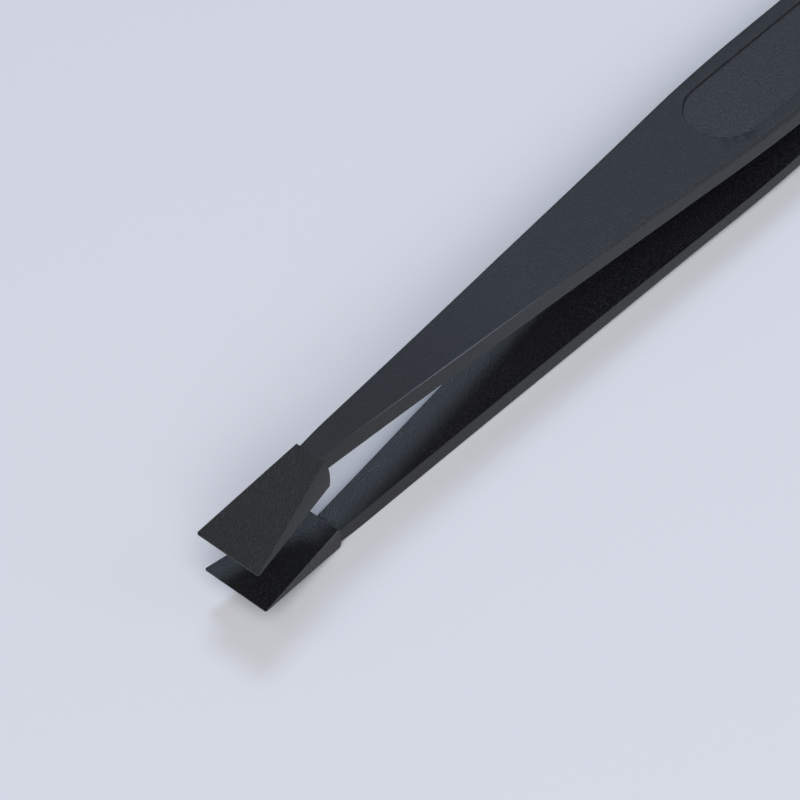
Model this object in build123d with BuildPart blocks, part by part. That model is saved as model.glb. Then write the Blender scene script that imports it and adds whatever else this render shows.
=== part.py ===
from build123d import *
from math import atan, cos, hypot, radians, sin, tan
import os

os.makedirs("parts", exist_ok=True)

# Plastic tweezers with spade tips, moulded in one piece, lying on the outer face of the lower arm.
# Lengths run from the tips to the joined end, heights from the mid-plane between the two arms.

# Whole object
length = 115.0
flank_draft = 2.6           # degrees by which the arms narrow from the mid-plane outwards
edge_round = 0.12           # radius on the long outer edges

# Spade tips
blade_length = 9.1
blade_front_width = 6.3
blade_heel_width = 3.46
blade_draft = 6.5           # degrees
lip_thickness = 0.12        # the thin front edge
lip_corner_radius = 0.15
tip_gap = 4.0               # between the gripping faces at the front edge
heel_gap = 5.0              # between the gripping faces at the back
heel_drop = 0.29            # from the arm's outer face down to the blade's, at its back
heel_setback = 0.15         # the gripping face ends this much before the outer face
heel_bulge = 0.27           # rise of the rounded back end over its chord
heel_overlap = 0.9          # length of arm that runs on inside the blade
blade_overrun = 1.0         # surplus behind the heel, which the side view trims off

# Arms
arm_gap = 7.12              # between the inner faces where the blades begin
arms_meet = 98.7            # distance from the tips at which the inner faces would meet
heel_arm_thickness = 1.5
grip_arm_thickness = 1.4

# Outline of the arms, as widths on the mid-plane
neck_width = 2.5
crown_length = 11.4         # the rounded stretch in front of the grip
crown_rise = 0.48           # what each side gains over that stretch
grip_from_tip = 61.5
grip_width = 9.6
grip_length = 15.0          # the stretch with parallel sides
end_width = 7.0
end_corner_radius = 2.2

# Joined end
end_thickness = 3.4
end_bend_radius = 60.0
root_radius = 0.4           # rounded bottom of the gap between the arms

# Shallow panel on the upper arm
panel_from_tip = 51.4
panel_length = 30.0
panel_width = 6.5
panel_depth = 0.25

# Straight lines of the side view: gripping face, blade's outer face, arm's inner and outer face
arm_inner_slope = -(arm_gap / 2) / (arms_meet - blade_length)


def inner_height(x):
    return (arms_meet - x) * -arm_inner_slope


lip_height = tip_gap / 2 + lip_thickness
heel_outer = inner_height(blade_length) + heel_arm_thickness
heel_height = heel_outer - heel_drop
blade_slope = (heel_height - lip_height) / blade_length
grip_outer = inner_height(grip_from_tip) + grip_arm_thickness
arm_outer_slope = (grip_outer - heel_outer) / (grip_from_tip - blade_length)


def outer_height(x):
    return heel_outer + (x - blade_length) * arm_outer_slope


# The outer faces of blade and arm would cross here, and the bend rounds that corner off
corner_from_tip = blade_length + heel_drop / (blade_slope - arm_outer_slope)
bend_turn = atan(blade_slope) - atan(arm_outer_slope)
bend_reach = hypot(corner_from_tip - blade_length, outer_height(corner_from_tip) - heel_height)
bend_radius = bend_reach / tan(bend_turn / 2)
end_height = end_thickness / 2
end_bend_from_tip = blade_length + (end_height - heel_outer) / arm_outer_slope
inner_lean = atan(-arm_inner_slope)
root_middle = arms_meet - root_radius / sin(inner_lean)
root_touch = (root_middle + root_radius * sin(inner_lean), root_radius * cos(inner_lean))

# The tweezers rest on the bend of the lower arm and on the edge of the joined end
rest_front = corner_from_tip + bend_reach * cos(atan(arm_outer_slope))
rest_back = length - end_height * tan(radians(flank_draft)) - edge_round
lean = atan((outer_height(rest_front) - end_height) / (rest_back - rest_front))
middle_height = rest_front * sin(lean) + outer_height(rest_front) * cos(lean)
tips_x = -(length * cos(lean) - lip_height * sin(lean)) / 2

# The mid-plane starts at the tips, and the side plane stands on it along the middle of the arms
middle = Plane(
    origin=(tips_x, 0, middle_height),
    x_dir=(cos(lean), 0, -sin(lean)),
    z_dir=(sin(lean), 0, cos(lean)),
)
side = Plane(origin=middle.origin, x_dir=middle.x_dir, z_dir=-middle.y_dir)

# Upper blade: a wedge with a rounded back end, narrowed towards the heel and outwards
heel_inner_x = blade_length - heel_setback
heel_chord_x = blade_length - heel_setback / 2
heel_chord_z = (heel_height + heel_gap / 2) / 2


def blade_outline(height):
    """Corners of the blade seen from above, from the tips to a little behind the heel."""
    narrowing = (blade_front_width - blade_heel_width) / 2 / blade_length
    inset = height * tan(radians(blade_draft))
    front = blade_front_width / 2 - inset
    back = blade_heel_width / 2 - narrowing * blade_overrun - inset
    back_x = blade_length + blade_overrun
    return [(0, -front), (back_x, -back), (back_x, back), (0, front)]


with BuildPart() as blade:
    for height in (0, heel_height):
        with BuildSketch(middle.offset(tip_gap / 2 + height)) as blade_section:
            Polygon(*blade_outline(height), align=None)
            fillet(blade_section.vertices().group_by(Axis.X)[0], radius=lip_corner_radius)
    loft(ruled=True)
    with BuildSketch(side):
        with BuildLine():
            Polyline(
                (heel_inner_x, heel_gap / 2),
                (0, tip_gap / 2),
                (0, lip_height),
                (blade_length, heel_height),
            )
            ThreePointArc(
                (blade_length, heel_height),
                (heel_chord_x + heel_bulge, heel_chord_z),
                (heel_inner_x, heel_gap / 2),
            )
        make_face()
    extrude(amount=blade_front_width, both=True, mode=Mode.INTERSECT)

bend_corner = (corner_from_tip, outer_height(corner_from_tip))
end_bend_corner = (end_bend_from_tip, end_height)

# Upper arm with its half of the joined end: the outline seen from above, narrowed outwards
# from the mid-plane, and then cut to the side view
arm_start = blade_length - heel_overlap
neck = (arm_start, neck_width / 2)
shoulder = (grip_from_tip - crown_length, grip_width / 2 - crown_rise)
grip_start = (grip_from_tip, grip_width / 2)
grip_end = (grip_from_tip + grip_length, grip_width / 2)
end_corner = (length, end_width / 2)


def is_outer_edge(edge):
    """True for a long edge between the outer face and one of the side walls."""
    start, spot, end = (middle.to_local_coords(edge @ part) for part in (0, 0.5, 1))
    beside = abs(spot.Y) > edge_round or spot.X > length - end_corner_radius
    return beside and all(
        point.Z > max(inner_height(point.X) + grip_arm_thickness / 2, end_height - edge_round)
        for point in (start, spot, end)
    )


with BuildPart() as arm:
    with BuildSketch(middle):
        with BuildLine():
            Line((length, 0), end_corner)
            TangentArc(grip_end, end_corner, tangent=(1, 0))
            Line(grip_end, grip_start)
            crown = TangentArc(grip_start, shoulder, tangent=(-1, 0))
            TangentArc(shoulder, neck, tangent=crown % 1)
            Line(neck, (arm_start, 0))
            mirror(about=Plane.XZ)
        outline = make_face()
        fillet(outline.vertices().group_by(Axis.X)[-1], radius=end_corner_radius)
    extrude(amount=arm_gap, taper=flank_draft)
    with BuildSketch(side) as side_view:
        with BuildLine():
            Polyline(
                root_touch,
                (arm_start, inner_height(arm_start)),
                (arm_start, lip_height + arm_start * blade_slope),
                bend_corner,
                end_bend_corner,
                (length, end_height),
                (length, 0),
                (root_middle + root_radius, 0),
            )
            TangentArc((root_middle + root_radius, 0), root_touch, tangent=(0, 1))
        make_face()
        for corner, radius in ((bend_corner, bend_radius), (end_bend_corner, end_bend_radius)):
            fillet(side_view.vertices().sort_by_distance(corner)[0], radius=radius)
    extrude(amount=grip_width, both=True, mode=Mode.INTERSECT)
    fillet(arm.edges().filter_by(is_outer_edge), radius=edge_round)

# Upper arm's outer face, with its origin under the middle of the panel
panel_middle = panel_from_tip + panel_length / 2
arm_lean = atan(arm_outer_slope)
panel_plane = Plane(
    origin=side.from_local_coords(Vector(panel_middle, outer_height(panel_middle), 0)),
    x_dir=side.x_dir * cos(arm_lean) + side.y_dir * sin(arm_lean),
    z_dir=side.y_dir * cos(arm_lean) - side.x_dir * sin(arm_lean),
)

with BuildPart() as tweezers:
    for half in (arm, blade):
        add(half.part)
        mirror(half.part, about=middle)
    with BuildSketch(panel_plane):
        SlotOverall(panel_length, panel_width)
    extrude(amount=-panel_depth, mode=Mode.SUBTRACT)

tweezers.part.label = "tweezers"
export_step(tweezers.part, "parts/tweezers.step")
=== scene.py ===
from cmath import rect
from math import asin, atan, atan2, cos, hypot, pi, radians, sin, sqrt, tan

import bmesh
import bpy
from mathutils import Matrix, Quaternion, Vector


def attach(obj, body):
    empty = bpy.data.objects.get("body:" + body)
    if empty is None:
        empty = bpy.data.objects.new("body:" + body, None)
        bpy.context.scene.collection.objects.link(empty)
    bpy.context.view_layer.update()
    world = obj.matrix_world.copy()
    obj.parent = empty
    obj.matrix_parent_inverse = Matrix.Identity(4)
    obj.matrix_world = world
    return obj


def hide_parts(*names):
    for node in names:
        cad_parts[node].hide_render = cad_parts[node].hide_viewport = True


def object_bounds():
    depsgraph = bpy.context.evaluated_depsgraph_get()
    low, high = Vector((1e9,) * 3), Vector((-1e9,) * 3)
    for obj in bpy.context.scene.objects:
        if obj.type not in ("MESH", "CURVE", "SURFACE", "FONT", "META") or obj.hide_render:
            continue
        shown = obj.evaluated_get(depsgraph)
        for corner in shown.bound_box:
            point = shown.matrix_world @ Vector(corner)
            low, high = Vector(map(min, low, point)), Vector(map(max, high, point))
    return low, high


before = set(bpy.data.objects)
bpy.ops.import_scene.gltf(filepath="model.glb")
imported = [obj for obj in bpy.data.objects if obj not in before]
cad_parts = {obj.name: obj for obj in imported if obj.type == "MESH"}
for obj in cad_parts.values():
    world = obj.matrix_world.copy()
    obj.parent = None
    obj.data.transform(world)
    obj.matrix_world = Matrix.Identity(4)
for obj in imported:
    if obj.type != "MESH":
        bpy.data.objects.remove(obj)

mm = 0.001                      # one millimetre in metres, Blender's own unit
cadLow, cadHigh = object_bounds()


def linear(hexColour):
    # sRGB hex to the linear values that shaders and lamps take
    channels = [int(hexColour[i:i + 2], 16) / 255 for i in (1, 3, 5)]
    return tuple(c / 12.92 if c <= 0.04045 else ((c + 0.055) / 1.055) ** 2.4 for c in channels)


def addNode(tree, kind, settings=None, values=None, links=None):
    # one node, with its settings, the values of its sockets and what is plugged into them
    node = tree.nodes.new(kind)
    for key, value in (settings or {}).items():
        setattr(node, key, value)
    for key, value in (values or {}).items():
        node.inputs[key].default_value = value
    for key, source in (links or {}).items():
        tree.links.new(source, node.inputs[key])
    return node


def newMaterial(name):
    material = bpy.data.materials.new(name)
    material.use_nodes = True
    material.node_tree.nodes.clear()
    return material, material.node_tree


# Sockets of a Mix node that mixes colours
mixShare = 0
mixFrom = 6
mixTo = 7
mixResult = 2

# Plastic of the tweezers: polyamide filled with carbon, injection moulded in a fine-eroded steel mould.
# To the eye: a near-black body, dull all over, with a soft cool sheen where it faces the window. The inner
# faces and the panel come from a smoother steel and shine more. A painted highlight lightens the crisp outer
# edges near the blades, and a painted sheen lightens the grip and the panel's floor.
plastic = {
    "bodyColour": "#111214",
    # pale colour of the filler's specks, also used to paint the highlight on the crisp edges and the sheen
    # on the grip and panel floor
    "speckAndSheenColour": "#7d8494",
    "ior": 1.5,
    "roughness": 0.54,          # eroded faces
    "smoothRoughness": 0.36,    # panel and inner faces
    "roughnessSpread": 0.12,    # how much the grain changes the roughness
    "grainSize": 0.15 * mm,     # real grain is about 0.05 mm, drawn coarser so that it shows
    "grainHeight": 0.045 * mm,
    "finerShare": 0.6,          # weight of each finer octave of noise in the grain
    "grainReach": (0.3, 0.7),   # values that the grain's noise mostly lies between
    "smoothGrain": 0.45,        # share of the grain's height on the panel and the inner faces
    "specks": 0.07,             # share of that pale colour in the pale specks of the filler
    "speckReach": (0.5, 0.75),  # a speck starts at the first value of the noise and is full at the second
    "flowSize": 5 * mm,         # slow changes of tone left by the flow of the plastic
    "flowSpread": 0.2,
    "finerOctaves": 2.0,        # of noise, in the grain and in the flow
}


def makePlastic():
    material, tree = newMaterial("mouldedCarbonFilledPolyamide")
    place = addNode(tree, "ShaderNodeTexCoord")
    # painted sheen and painted highlight, stored on the skin's points as shares of the pale colour
    paintedSheen = addNode(tree, "ShaderNodeAttribute", settings={"attribute_name": "paintedSheen"})
    polish = addNode(tree, "ShaderNodeAttribute", settings={"attribute_name": "polish"})
    grain = addNode(tree, "ShaderNodeTexNoise",
                    values={"Scale": 1 / plastic["grainSize"], "Detail": plastic["finerOctaves"],
                            "Roughness": plastic["finerShare"]},
                    links={"Vector": place.outputs["Object"]})
    flow = addNode(tree, "ShaderNodeTexNoise",
                   values={"Scale": 1 / plastic["flowSize"], "Detail": plastic["finerOctaves"]},
                   links={"Vector": place.outputs["Object"]})
    # colour: the body's slow changes of tone, then the painted sheen, the painted highlight and the specks
    # over them
    body = linear(plastic["bodyColour"])
    low, high = 1 - plastic["flowSpread"], 1 + plastic["flowSpread"]
    tone = addNode(tree, "ShaderNodeMix",
                   settings={"data_type": "RGBA"},
                   values={mixFrom: (*(low * c for c in body), 1), mixTo: (*(high * c for c in body), 1)},
                   links={mixShare: flow.outputs["Fac"]})
    speckStart, speckFull = plastic["speckReach"]
    specks = addNode(tree, "ShaderNodeMapRange",
                     values={"From Min": speckStart, "From Max": speckFull, "To Max": plastic["specks"]},
                     links={"Value": grain.outputs["Fac"]})
    pale = addNode(tree, "ShaderNodeMath", settings={"operation": "ADD"},
                   links={0: paintedSheen.outputs["Fac"], 1: specks.outputs["Result"]})
    colour = addNode(tree, "ShaderNodeMix",
                     settings={"data_type": "RGBA"},
                     values={mixTo: (*linear(plastic["speckAndSheenColour"]), 1)},
                     links={mixShare: pale.outputs["Value"], mixFrom: tone.outputs[mixResult]})
    # finish: smoother and flatter where the mould was polished
    grainLow, grainHigh = plastic["grainReach"]
    spread = addNode(tree, "ShaderNodeMapRange",
                     values={"From Min": grainLow, "From Max": grainHigh,
                             "To Min": -plastic["roughnessSpread"], "To Max": plastic["roughnessSpread"]},
                     links={"Value": grain.outputs["Fac"]})
    finish = addNode(tree, "ShaderNodeMapRange",
                     values={"To Min": plastic["roughness"], "To Max": plastic["smoothRoughness"]},
                     links={"Value": polish.outputs["Fac"]})
    roughness = addNode(tree, "ShaderNodeMath", settings={"operation": "ADD"},
                        links={0: finish.outputs["Result"], 1: spread.outputs["Result"]})
    height = addNode(tree, "ShaderNodeMapRange",
                     values={"To Min": plastic["grainHeight"],
                             "To Max": plastic["grainHeight"] * plastic["smoothGrain"]},
                     links={"Value": polish.outputs["Fac"]})
    bump = addNode(tree, "ShaderNodeBump",
                   values={"Strength": 1.0},
                   links={"Height": grain.outputs["Fac"], "Distance": height.outputs["Result"]})
    shader = addNode(tree, "ShaderNodeBsdfPrincipled",
                     values={"IOR": plastic["ior"]},
                     links={"Base Color": colour.outputs[mixResult], "Roughness": roughness.outputs["Value"],
                            "Normal": bump.outputs["Normal"]})
    addNode(tree, "ShaderNodeOutputMaterial", links={"Surface": shader.outputs["BSDF"]})
    return material


# Shape of the tweezers in millimetres: x runs from the tips to the joined end on the mid-plane between
# the arms, y goes across, and z is the height from the mid-plane outwards. Both halves are mirror images.
arms = {
    "length": 115.0,
    "draft": radians(2.6),      # the arms narrow by this from the mid-plane outwards
    "gap": 7.12,                # between the inner faces where the blades begin
    "meet": 98.7,               # where the inner faces would meet
    "frontThickness": 1.5,
    "gripThickness": 1.4,
    "bendLength": 2.9,          # behind the blade, where the outer face curves into the straight one
    "neckWidth": 2.5,
    "neckStart": 8.2,
    "crownLength": 11.4,        # the rounded stretch in front of the grip
    "crownRise": 0.48,          # what each side gains over that stretch
    "gripStart": 61.5,
    "gripWidth": 9.6,
    "gripLength": 15.0,         # the stretch with parallel sides
    "endWidth": 7.0,
    "endCorner": 2.2,
    "endThickness": 3.4,
    "endBend": 60.0,            # radius where the outer face turns level with the joined end
    "root": 0.4,                # radius at the bottom of the gap
    "crispEdge": 0.1,           # radius of the outer edges near the blades
    "softEdge": 0.34,           # and at the grip, where a thumb presses
    "softFrom": 30.0,
    "softTo": 50.0,
    "innerEdge": 0.05,
    "innerPolish": 0.8,         # 0 is as dull as the eroded faces, 1 as smooth as the panel
    "gripPolish": 0.3,
    "gripPaintedSheen": 0.038,          # painted sheen where the thumb lies, as a share of the pale colour
    # the grip's painted sheen and smoother finish grow between these two places
    "sheenAndPolishFrom": 10.0,
    "sheenAndPolishTo": 36.0,
}
blades = {
    "length": 9.1,
    "frontWidth": 6.3,
    "heelWidth": 3.46,
    "draft": radians(6.5),
    "lip": 0.12,                # thin front edge
    "lipCorner": 0.15,
    "frontGap": 4.0,
    "heelGap": 5.0,
    "heelDrop": 0.2,            # from the line of the arm's outer face to the blade's back edge
    "heelSetback": 0.15,        # the gripping face ends this much before the outer face
    "heelBulge": 0.27,          # rise of the rounded back end over its chord
    "edge": 0.035,              # radius of the outer edges
    "edgeFrom": 0.5,            # edges that turn by more than this, in radians, get that radius
    "edgeProfile": 0.5,         # 0.5 is a round
}
# How many parts each stretch of the skin is divided into
divisions = {
    "wall": 6,
    "outerRound": 8,
    "innerRound": 3,
    "bend": 10,
    "neck": 30,
    "crown": 12,
    "grip": 6,
    "taper": 6,
    "root": 8,
    "endBend": 4,
    "end": 8,
    "endCorner": 12,
    "heelBelowArm": 5,
    "lipCorner": 7,
    "bladeEdge": 2,
    "panelEnd": 24,
    "panelRim": 3,
    "panelCorner": 4,
}
close = 0.001                   # places within this count as the same
sameDecimals = 5                # points that agree to so many decimals are one

innerSlope = arms["gap"] / 2 / (arms["meet"] - blades["length"])
lean = atan(innerSlope)
rootMiddle = arms["meet"] - arms["root"] / sin(lean)
rootTouch = rootMiddle + arms["root"] * sin(lean)
rootEnd = rootMiddle + arms["root"]


def innerHeight(x):
    if x <= rootTouch:
        return (arms["meet"] - x) * innerSlope
    return sqrt(max(arms["root"] ** 2 - (x - rootMiddle) ** 2, 0)) if x < rootEnd else 0.0


# Side view of the outer faces: blade, bend, arm, shallow bend and joined end. The first bend is an arc that
# starts at the blade's back edge and runs smoothly into the arm's straight face.
lipHeight = blades["frontGap"] / 2 + blades["lip"]
armHeel = innerHeight(blades["length"]) + arms["frontThickness"]
heelTop = armHeel - blades["heelDrop"]
bladeSlope = (heelTop - lipHeight) / blades["length"]
gripTop = innerHeight(arms["gripStart"]) + arms["gripThickness"]
outerSlope = (gripTop - armHeel) / (arms["gripStart"] - blades["length"])
outerLean = atan(outerSlope)
bendEnd = blades["length"] + arms["bendLength"]
bendTop = armHeel + arms["bendLength"] * outerSlope
bendRise = bendTop - heelTop
bendSag = bendRise * cos(outerLean) - arms["bendLength"] * sin(outerLean)
bendRadius = hypot(arms["bendLength"], bendRise) ** 2 / (2 * bendSag)
bendMiddle = (bendEnd + bendRadius * sin(outerLean), bendTop - bendRadius * cos(outerLean))
endHeight = arms["endThickness"] / 2
endCornerX = blades["length"] + (endHeight - armHeel) / outerSlope
endReach = arms["endBend"] * tan(-outerLean / 2)
endBendStart = endCornerX - endReach * cos(outerLean)
endBendStop = endCornerX + endReach


def outerHeight(x):
    if x < bendEnd:
        return bendMiddle[1] + sqrt(bendRadius ** 2 - (x - bendMiddle[0]) ** 2)
    if x < endBendStart:
        return armHeel + (x - blades["length"]) * outerSlope
    if x < endBendStop:
        return endHeight + arms["endBend"] - sqrt(arms["endBend"] ** 2 - (x - endBendStop) ** 2)
    return endHeight


def rise(x, start, stop):
    # smooth step from 0 at start to 1 at stop
    share = min(max((x - start) / (stop - start), 0), 1)
    return share * share * (3 - 2 * share)


def edgeRadius(x):
    gain = arms["softEdge"] - arms["crispEdge"]
    return arms["crispEdge"] + gain * rise(x, arms["softFrom"], arms["softTo"])


def sheenAndPolishShare(x):
    # how much of the grip's smoother finish and painted sheen the arm has at x, from 0 to 1
    return rise(x, arms["sheenAndPolishFrom"], arms["sheenAndPolishTo"])


# Outline of the arms from above, as arcs on the complex plane: x + y * 1j
def arcThrough(start, tangent, end):
    # middle and radius of the arc that leaves start along tangent and passes through end
    chord = end - start
    across = tangent * 1j
    radius = abs(chord) ** 2 / (2 * (chord * across.conjugate()).real)
    return start + across * radius, abs(radius)


shoulder = complex(arms["gripStart"] - arms["crownLength"], arms["gripWidth"] / 2 - arms["crownRise"])
gripFront = complex(arms["gripStart"], arms["gripWidth"] / 2)
gripBack = gripFront + arms["gripLength"]
crownArc = arcThrough(gripFront, -1, shoulder)
shoulderTangent = (shoulder - crownArc[0]) * 1j / crownArc[1]
neckArc = arcThrough(shoulder, shoulderTangent, complex(arms["neckStart"], arms["neckWidth"] / 2))
taperArc = arcThrough(gripBack, 1, complex(arms["length"], arms["endWidth"] / 2))
cornerX = arms["length"] - arms["endCorner"]
cornerDrop = sqrt((taperArc[1] - arms["endCorner"]) ** 2 - (cornerX - taperArc[0].real) ** 2)
cornerMiddle = complex(cornerX, taperArc[0].imag + cornerDrop)
cornerStart = (cornerMiddle - taperArc[0]) / abs(cornerMiddle - taperArc[0])


def onArc(x, arc, bulge):
    # point of an arc at x, and the direction into the plastic; bulge is -1 on a hollow arc
    middle, radius = arc
    place = complex(x, middle.imag + bulge * sqrt(radius ** 2 - (x - middle.real) ** 2))
    return place, -bulge * (place - middle) / radius


def outlineAt(x):
    # point of the outline at x, and the direction into the plastic
    if x < shoulder.real:
        return onArc(x, neckArc, -1)
    if x < gripFront.real:
        return onArc(x, crownArc, 1)
    if x <= gripBack.real:
        return complex(x, arms["gripWidth"] / 2), -1j
    return onArc(x, taperArc, 1)


def places(start, stop, count):
    # evenly spaced places after start, up to and with stop
    return [start + (stop - start) * i / count for i in range(1, count + 1)]


def quarter(count):
    # turns of a quarter circle, from 0 to a right angle
    return [0.0] + places(0.0, pi / 2, count)


def armSection(x):
    # half of the arm's section at x: how far each row lies inside the outline, and its height
    low, high = innerHeight(x), outerHeight(x)
    small = min(arms["innerEdge"], low)
    radius = edgeRadius(x)
    slant = tan(arms["draft"])
    rows = []
    for turn in quarter(divisions["innerRound"]):
        height = low + small * (1 - cos(turn))
        rows.append((height * slant + small * (1 - sin(turn)), height))
    wallTop = high - radius * (1 - sin(arms["draft"]))
    for height in places(low + small, wallTop, divisions["wall"])[:-1]:
        rows.append((height * slant, height))
    roundMiddle = high * slant + radius * (1 - sin(arms["draft"])) / cos(arms["draft"])
    for turn in [arms["draft"]] + places(arms["draft"], pi / 2, divisions["outerRound"]):
        rows.append((roundMiddle - radius * cos(turn), high - radius + radius * sin(turn)))
    return rows


bladeNarrowing = (blades["frontWidth"] - blades["heelWidth"]) / 2 / blades["length"]


def bladeHalfWidth(x, z):
    inset = (z - blades["frontGap"] / 2) * tan(blades["draft"])
    return blades["frontWidth"] / 2 - bladeNarrowing * x - inset


def circleThrough(a, b, c):
    # middle and radius of the circle through three points of the complex plane
    ratio = (c - a) / (b - a)
    middle = (b - a) * (ratio - abs(ratio) ** 2) / (2j * ratio.imag) + a
    return middle, abs(middle - a)


# Rounded back end of the blade in the side view, as x + z * 1j
heelLow = complex(blades["length"] - blades["heelSetback"], blades["heelGap"] / 2)
heelHigh = complex(blades["length"], heelTop)
heelChord = (heelLow + heelHigh) / 2
heelMiddle, heelRadius = circleThrough(heelLow, heelChord + blades["heelBulge"], heelHigh)
heelSearch = 20                 # repeats, after which a place on the back end no longer moves


def heelX(z):
    return heelMiddle.real + sqrt(heelRadius ** 2 - (z - heelMiddle.imag) ** 2)


def faceHeight(x, outer):
    # height of the blade's outer or gripping face
    if outer:
        return lipHeight + bladeSlope * x
    return blades["frontGap"] / 2 + (blades["heelGap"] - blades["frontGap"]) / 2 * x / heelLow.real


class Skin:
    # collects points and faces; a point that is already there is used again
    def __init__(self):
        self.mesh = bmesh.new()
        # painted sheen and painted highlight, as shares of the pale colour
        self.paintedSheen = self.mesh.verts.layers.float.new("paintedSheen")
        self.polish = self.mesh.verts.layers.float.new("polish")
        self.known = {}

    def point(self, x, y, z, paintedSheen=0.0, polish=0.0):
        key = tuple(round(value, sameDecimals) for value in (x, y, z))
        if key not in self.known:
            vertex = self.mesh.verts.new((x, y, z))
            vertex[self.paintedSheen] = paintedSheen
            vertex[self.polish] = polish
            self.known[key] = vertex
        return self.known[key]

    def face(self, corners):
        loop = []
        for corner in corners:
            if corner not in loop:
                loop.append(corner)
        if len(loop) > 2:
            self.mesh.faces.new(loop)

    def strip(self, first, second):
        # quads between two rows of points
        for i in range(len(first) - 1):
            self.face((first[i], first[i + 1], second[i + 1], second[i]))


# Painted highlight along the crisp outer edges, between the blades and the grip: a lighter line on their
# round
crease = {
    "middle": 22.5,
    "reach": 12.0,
    "paintedSheen": 0.5,                # share of the pale colour in the highlight's middle
    "sharpness": 3,             # the higher, the narrower the painted highlight on the round
}


def creaseHighlight(x):
    share = 1 - abs(x - crease["middle"]) / crease["reach"]
    return crease["paintedSheen"] * max(share, 0)


def stationPoints(skin, rows, far, lower):
    # one column of points from the gap to the outer face, on one side of one arm
    across, upright = (-1 if far else 1), (-1 if lower else 1)
    roundStart = len(rows) - 1 - divisions["outerRound"]
    points = []
    for k, (place, height) in enumerate(rows):
        x = place.real
        paintedSheen, polish = 0.0, arms["innerPolish"]
        if k > 0:
            # the grip's painted sheen grows along the arm together with its smoother finish
            paintedSheen, polish = arms["gripPaintedSheen"] * sheenAndPolishShare(x), arms["gripPolish"] * sheenAndPolishShare(x)
        # painted highlight on the round of the crisp outer edge
        if k > roundStart:
            aroundEdge = (k - roundStart) / divisions["outerRound"]
            paintedSheen += creaseHighlight(x) * sin(pi * aroundEdge) ** crease["sharpness"]
        points.append(skin.point(x, across * place.imag, upright * height, paintedSheen, polish))
    return points


def heelRows():
    # the arm's first rows lie on the rounded back end of the blade
    rows = []
    for k in range(len(armSection(blades["length"]))):
        x = blades["length"]
        for _ in range(heelSearch):
            lateral, height = armSection(x)[k]
            x = heelX(min(height, heelTop))
        place, inward = outlineAt(x)
        rows.append((complex(x, (place + inward * lateral).imag), min(height, heelTop)))
    return rows


def armStations():
    # places along the outline with the direction into the plastic, from behind the heel to the end
    xs = places(blades["length"], bendEnd, divisions["bend"])
    xs += places(bendEnd, shoulder.real, divisions["neck"])
    xs += places(shoulder.real, gripFront.real, divisions["crown"])
    xs += places(gripFront.real, gripBack.real, divisions["grip"])
    xs += places(gripBack.real, endBendStart, divisions["taper"])
    xs += [rootMiddle + arms["root"] * sin(turn)
           for turn in [lean] + places(lean, pi / 2, divisions["root"])]
    xs += places(rootEnd, endBendStop, divisions["endBend"])
    xs += places(endBendStop, cornerX, divisions["end"])
    stations = [(x, outlineAt(x)) for x in xs]
    firstTurn = atan2(cornerStart.imag, cornerStart.real)
    for turn in [firstTurn] + places(firstTurn, 0.0, divisions["endCorner"]):
        outward = rect(1, turn)
        place = cornerMiddle + outward * arms["endCorner"]
        stations.append((place.real, (place, -outward)))
    return stations


def armRows(x, place, inward):
    return [(place + inward * lateral, height) for lateral, height in armSection(x)]


# Shallow panel in the upper arm's outer face, in millimetres
panel = {
    "start": 51.4,
    "length": 30.0,
    "width": 6.5,
    "depth": 0.25,
    "rim": 0.05,                # radius where the wall meets the outer face
    "corner": 0.1,              # and where it meets the floor
    "paintedSheen": 0.085,              # painted sheen: its smoother floor is painted a little lighter
}


def panelPoint(skin, along, across, depth, onFloor):
    # point of the upper arm's outer face, measured from the middle of the panel
    middleX = panel["start"] + panel["length"] / 2
    x = middleX + along * cos(outerLean) + depth * sin(outerLean)
    z = outerHeight(middleX) + along * sin(outerLean) - depth * cos(outerLean)
    if onFloor:
        # the panel's floor takes the panel's painted sheen, the rest of the face the grip's painted sheen
        return skin.point(x, across, z, panel["paintedSheen"], 1.0)
    return skin.point(x, across, z, arms["gripPaintedSheen"] * sheenAndPolishShare(x), arms["gripPolish"] * sheenAndPolishShare(x))


def panelRing(skin, spread, depth, onFloor=False):
    # oblong ring of points, widened by spread
    radius = panel["width"] / 2 + spread
    straight = panel["length"] / 2 - panel["width"] / 2
    ring = [
        (side * straight + radius * cos(turn), radius * sin(turn))
        for side, start in ((1, -pi / 2), (-1, pi / 2))
        for turn in [start] + places(start, start + pi, divisions["panelEnd"])
    ]
    return [panelPoint(skin, along, across, depth, onFloor) for along, across in ring]


def addPanel(skin):
    # sunken oblong with a small round at its rim and its floor
    rings = []
    for turn in quarter(divisions["panelRim"]):
        rings.append(panelRing(skin, panel["rim"] * (1 - sin(turn)), panel["rim"] * (1 - cos(turn))))
    for turn in quarter(divisions["panelCorner"]):
        overFloor = panel["corner"] * (1 - sin(turn))
        rings.append(panelRing(skin, -panel["corner"] * (1 - cos(turn)), panel["depth"] - overFloor,
                               onFloor=overFloor < close))
    for outer, inner in zip(rings, rings[1:]):
        skin.strip(outer + outer[:1], inner + inner[:1])
    skin.face(rings[-1])
    return rings[0]


def fillAround(skin, near, far, hole):
    # flat face between two rows of points, left open where the hole is
    loop = near + far[::-1]
    edges = []
    for ring in (loop, hole):
        for a, b in zip(ring, ring[1:] + ring[:1]):
            edges.append(skin.mesh.edges.get((a, b)) or skin.mesh.edges.new((a, b)))
    bmesh.ops.triangle_fill(skin.mesh, use_beauty=True, use_dissolve=False, edges=edges)


def bladeCorner(outer):
    # rounded corner of the blade's front edge, from the front edge to the side
    radius = blades["lipCorner"]
    sideTurn = atan2(1, bladeNarrowing)
    points = []
    for turn in [pi] + places(pi, sideTurn, divisions["lipCorner"]):
        x = radius * (1 + cos(turn))
        z = faceHeight(x, outer)
        middle = bladeHalfWidth(radius, z) - radius * hypot(1, bladeNarrowing)
        points.append((x, middle + radius * sin(turn), z))
    return points


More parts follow.
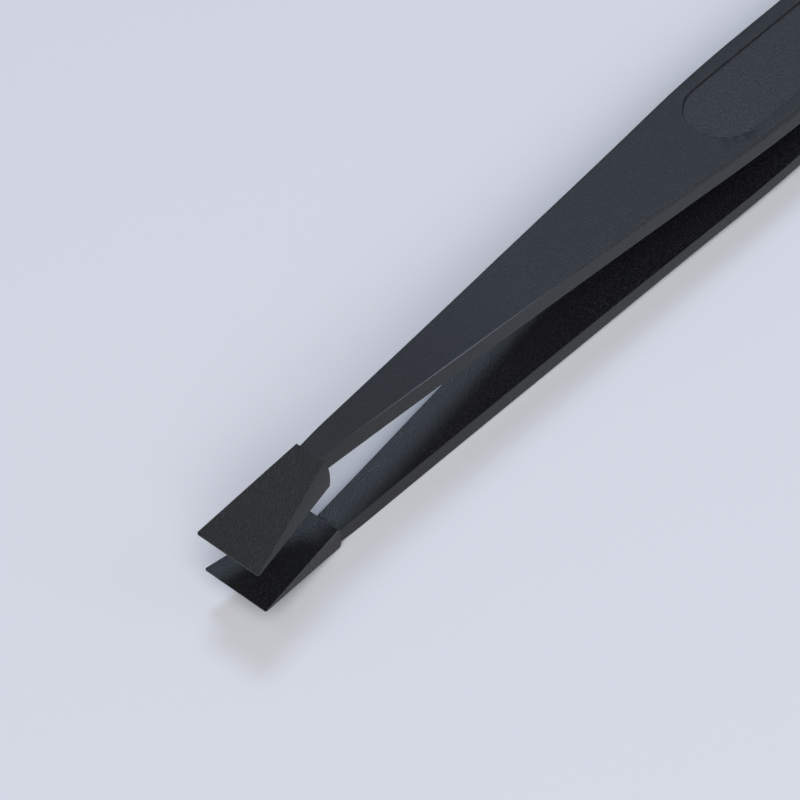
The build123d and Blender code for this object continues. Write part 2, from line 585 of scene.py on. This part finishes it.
def addBlade(skin, heel, lower):
    # wedge of one arm: two faces, thin front edge, sides, and the back end around the arm
    upright = -1 if lower else 1
    below = divisions["heelBelowArm"]
    start = blades["heelGap"] / 2
    heights = [start] + places(start, heel[0][1], below)[:-1] + [z for _, z in heel]
    columns = {}
    for far in (False, True):
        across = -1 if far else 1

        def put(x, y, z, polish=0.0):
            return skin.point(x, across * y, upright * z, 0.0, polish)

        under = [put(*spot, arms["innerPolish"]) for spot in bladeCorner(False)]
        over = [put(*spot) for spot in bladeCorner(True)]
        side = [put(heelX(z), bladeHalfWidth(heelX(z), z), z, arms["innerPolish"] * (z == start))
                for z in heights]
        skin.strip(under, over)
        skin.face([under[-1]] + side + [over[-1]])
        arm = [put(place.real, place.imag, z) for place, z in heel]
        skin.strip(side[below:], arm)
        columns[far] = under, over, side, arm
    under, over, side, arm = columns[False]
    farUnder, farOver, farSide, farArm = columns[True]
    skin.face([under[0], over[0], farOver[0], farUnder[0]])
    skin.face(under + [side[0], farSide[0]] + farUnder[::-1])
    skin.face(over + [side[-1], arm[-1], farArm[-1], farSide[-1]] + farOver[::-1])
    skin.strip(side[:below], farSide[:below])
    skin.face([side[below - 1], side[below], arm[0], farArm[0], farSide[below], farSide[below - 1]])


def addArm(skin, heel, lower):
    # side walls with their rounded edges, inner face, outer face and end
    stations = armStations()
    rows = [heel] + [armRows(x, *spot) for x, spot in stations]
    xs = [blades["length"]] + [x for x, _ in stations]
    near = [stationPoints(skin, row, False, lower) for row in rows]
    far = [stationPoints(skin, row, True, lower) for row in rows]
    for columns in (near, far):
        for first, second in zip(columns, columns[1:]):
            skin.strip(first, second)
    skin.strip(near[-1], far[-1])
    flat = [i for i, x in enumerate(xs) if bendEnd - close <= x <= endBendStart + close]
    for i in range(len(xs) - 1):
        if xs[i + 1] <= rootEnd + close:
            skin.strip([near[i][0], far[i][0]], [near[i + 1][0], far[i + 1][0]])
        if lower or not (flat[0] <= i < flat[-1]):
            skin.strip([near[i][-1], far[i][-1]], [near[i + 1][-1], far[i + 1][-1]])
    if not lower:
        tops = [[columns[i][-1] for i in flat] for columns in (near, far)]
        fillAround(skin, *tops, addPanel(skin))


def roundBladeEdges(skin):
    # a small radius on the blade's outer edges, as every moulded edge has
    heelEnd = heelMiddle.real + heelRadius + close
    edges = [
        edge for edge in skin.mesh.edges
        if edge.is_convex and edge.calc_face_angle(0) > blades["edgeFrom"]
        and all(vertex.co.x < heelEnd for vertex in edge.verts)
    ]
    bmesh.ops.bevel(skin.mesh, geom=edges, offset=blades["edge"], segments=divisions["bladeEdge"],
                    profile=blades["edgeProfile"], affect="EDGES", clamp_overlap=True)


shading = {
    "crispFrom": radians(28),   # edges that turn by more than this look crisp
    "near": 0.01,               # how near the line behind each blade an edge counts as that line
}


def setShading(skin):
    # smooth all over but for the edges that are crisp on the object, such as the one behind each blade
    for face in skin.mesh.faces:
        face.smooth = True
    for edge in skin.mesh.edges:
        behindBlade = all(
            abs(vertex.co.x - blades["length"]) < shading["near"]
            and abs(vertex.co.z) > heelTop - shading["near"]
            for vertex in edge.verts
        )
        edge.smooth = edge.calc_face_angle(0) < shading["crispFrom"] and not behindBlade


def lieDown(skin):
    # the tweezers rest on the bend of the lower arm and on the edge of the joined end
    restBack = arms["length"] - endHeight * tan(arms["draft"]) - arms["crispEdge"]
    toBend = complex(bendMiddle[0] - restBack, bendMiddle[1] - endHeight)
    tilt = asin(bendRadius / abs(toBend)) + atan(toBend.imag / -toBend.real)
    tipsX = -(arms["length"] * cos(tilt) - lipHeight * sin(tilt)) / 2
    height = bendRadius + bendMiddle[0] * sin(tilt) + bendMiddle[1] * cos(tilt)
    lie = Matrix.Scale(mm, 4) @ Matrix.Translation((tipsX, 0, height)) @ Matrix.Rotation(tilt, 4, "Y")
    bmesh.ops.transform(skin.mesh, matrix=lie, verts=skin.mesh.verts)


def makeTweezers():
    skin = Skin()
    heel = heelRows()
    for lower in (False, True):
        addBlade(skin, heel, lower)
        addArm(skin, heel, lower)
    bmesh.ops.recalc_face_normals(skin.mesh, faces=skin.mesh.faces)
    roundBladeEdges(skin)
    setShading(skin)
    print("skin closed, open edges:", sum(not edge.is_manifold for edge in skin.mesh.edges))
    lieDown(skin)
    mesh = bpy.data.meshes.new("tweezersSkin")
    skin.mesh.to_mesh(mesh)
    skin.mesh.free()
    piece = bpy.data.objects.new("tweezersSkin", mesh)
    bpy.context.scene.collection.objects.link(piece)
    weighted = piece.modifiers.new("evenShading", "WEIGHTED_NORMAL")
    weighted.keep_sharp = True
    mesh.materials.append(makePlastic())
    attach(piece, "root")
    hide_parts("tweezers")
    print("tweezers made:", len(mesh.vertices), "points,", len(mesh.polygons), "faces")


# Floor: a sheet of pale matt paper, wide enough to fill every view from above
floorSheet = {
    "colour": "#d4d7df",
    "halfWidth": 1500 * mm,
}


def makeFloor():
    half = floorSheet["halfWidth"]
    mesh = bpy.data.meshes.new("floorSheet")
    corners = [(-half, -half, 0), (half, -half, 0), (half, half, 0), (-half, half, 0)]
    mesh.from_pydata(corners, [], [(0, 1, 2, 3)])
    sheet = bpy.data.objects.new("floorSheet", mesh)
    bpy.context.scene.collection.objects.link(sheet)
    material, tree = newMaterial("paleMattPaper")
    shader = addNode(tree, "ShaderNodeBsdfDiffuse", values={"Color": (*linear(floorSheet["colour"]), 1)})
    addNode(tree, "ShaderNodeOutputMaterial", links={"Surface": shader.outputs["BSDF"]})
    mesh.materials.append(material)
    sheet.location.z = cadLow.z
    print("floor laid")


def aimAt(holder, place, aim, roll=0.0):
    # puts a lamp or the camera at place, facing aim, and rolls it about the line between them
    away = Vector(place) - Vector(aim)
    holder.location = place
    holder.rotation_mode = "QUATERNION"
    holder.rotation_quaternion = away.to_track_quat("Z", "Y") @ Quaternion((0, 0, 1), roll)


# Light: a dim even room and four square lamps that face the object, in metres and watts. The window is
# high on the far side and gives the upward faces their cool sheen, the warm ceiling lamp lights the blades,
# the side lamp lights the rounded near edges, and the wide lamp on the camera's side lights the floor.
light = {
    "room": "#57585b",
    "lamps": {
        "window": {"colour": "#d0e4ff", "towards": (0.334, 0.27, 0.903), "distance": 0.9,
                   "size": 0.25, "power": 2.3},
        "ceiling": {"colour": "#ffefd7", "towards": (-0.3, 0.42, 0.85), "distance": 0.9,
                    "size": 0.3, "power": 0.3},
        "side": {"colour": "#eff6ff", "towards": (0.4, -0.76, 0.5), "distance": 1.0,
                 "size": 0.5, "power": 0.8},
        "front": {"colour": "#fffcf9", "towards": (-0.45, -0.5, 0.74), "distance": 1.2,
                  "size": 0.9, "power": 15.0},
    },
}


def makeLamp(name, values):
    lamp = bpy.data.lights.new(name, "AREA")
    lamp.shape = "SQUARE"
    lamp.size = values["size"]
    lamp.energy = values["power"]
    lamp.color = linear(values["colour"])
    holder = bpy.data.objects.new(name, lamp)
    bpy.context.scene.collection.objects.link(holder)
    aimAt(holder, Vector(values["towards"]).normalized() * values["distance"], (0, 0, 0))


def makeRoom():
    world = bpy.data.worlds.new("paleRoom")
    world.use_nodes = True
    tree = world.node_tree
    tree.nodes.clear()
    # the camera sees the room behind the floor in the floor's colour, while the room's own light stays dim
    ray = addNode(tree, "ShaderNodeLightPath")
    colour = addNode(tree, "ShaderNodeMix", settings={"data_type": "RGBA"},
                     values={mixFrom: (*linear(light["room"]), 1),
                             mixTo: (*linear(floorSheet["colour"]), 1)},
                     links={mixShare: ray.outputs["Is Camera Ray"]})
    shader = addNode(tree, "ShaderNodeBackground", links={"Color": colour.outputs[mixResult]})
    addNode(tree, "ShaderNodeOutputWorld", links={"Surface": shader.outputs["Background"]})
    bpy.context.scene.world = world
    for name, values in light["lamps"].items():
        makeLamp(name, values)
    print("room lit")


# Camera, in millimetres and degrees: fitted to the edges of the object in the photograph
shot = {
    "place": (-166.7, -163.3, 252.2),
    "aim": (-35.54, 4.74, 0.0),
    "roll": -11.55,
    "lens": 197.68,
    "sensor": 36,
    "nearest": 10,
    "farthest": 10000,
}


def makeCamera():
    camera = bpy.data.cameras.new("shot")
    camera.sensor_width = shot["sensor"]
    camera.lens = shot["lens"]
    camera.clip_start = shot["nearest"] * mm
    camera.clip_end = shot["farthest"] * mm
    holder = bpy.data.objects.new("shot", camera)
    bpy.context.scene.collection.objects.link(holder)
    aimAt(holder, Vector(shot["place"]) * mm, Vector(shot["aim"]) * mm, radians(shot["roll"]))
    bpy.context.scene.camera = holder
    print("camera placed")


makeTweezers()
makeFloor()
makeRoom()
makeCamera()
bpy.context.scene.view_settings.view_transform = "Standard"

bpy.context.view_layer.update()
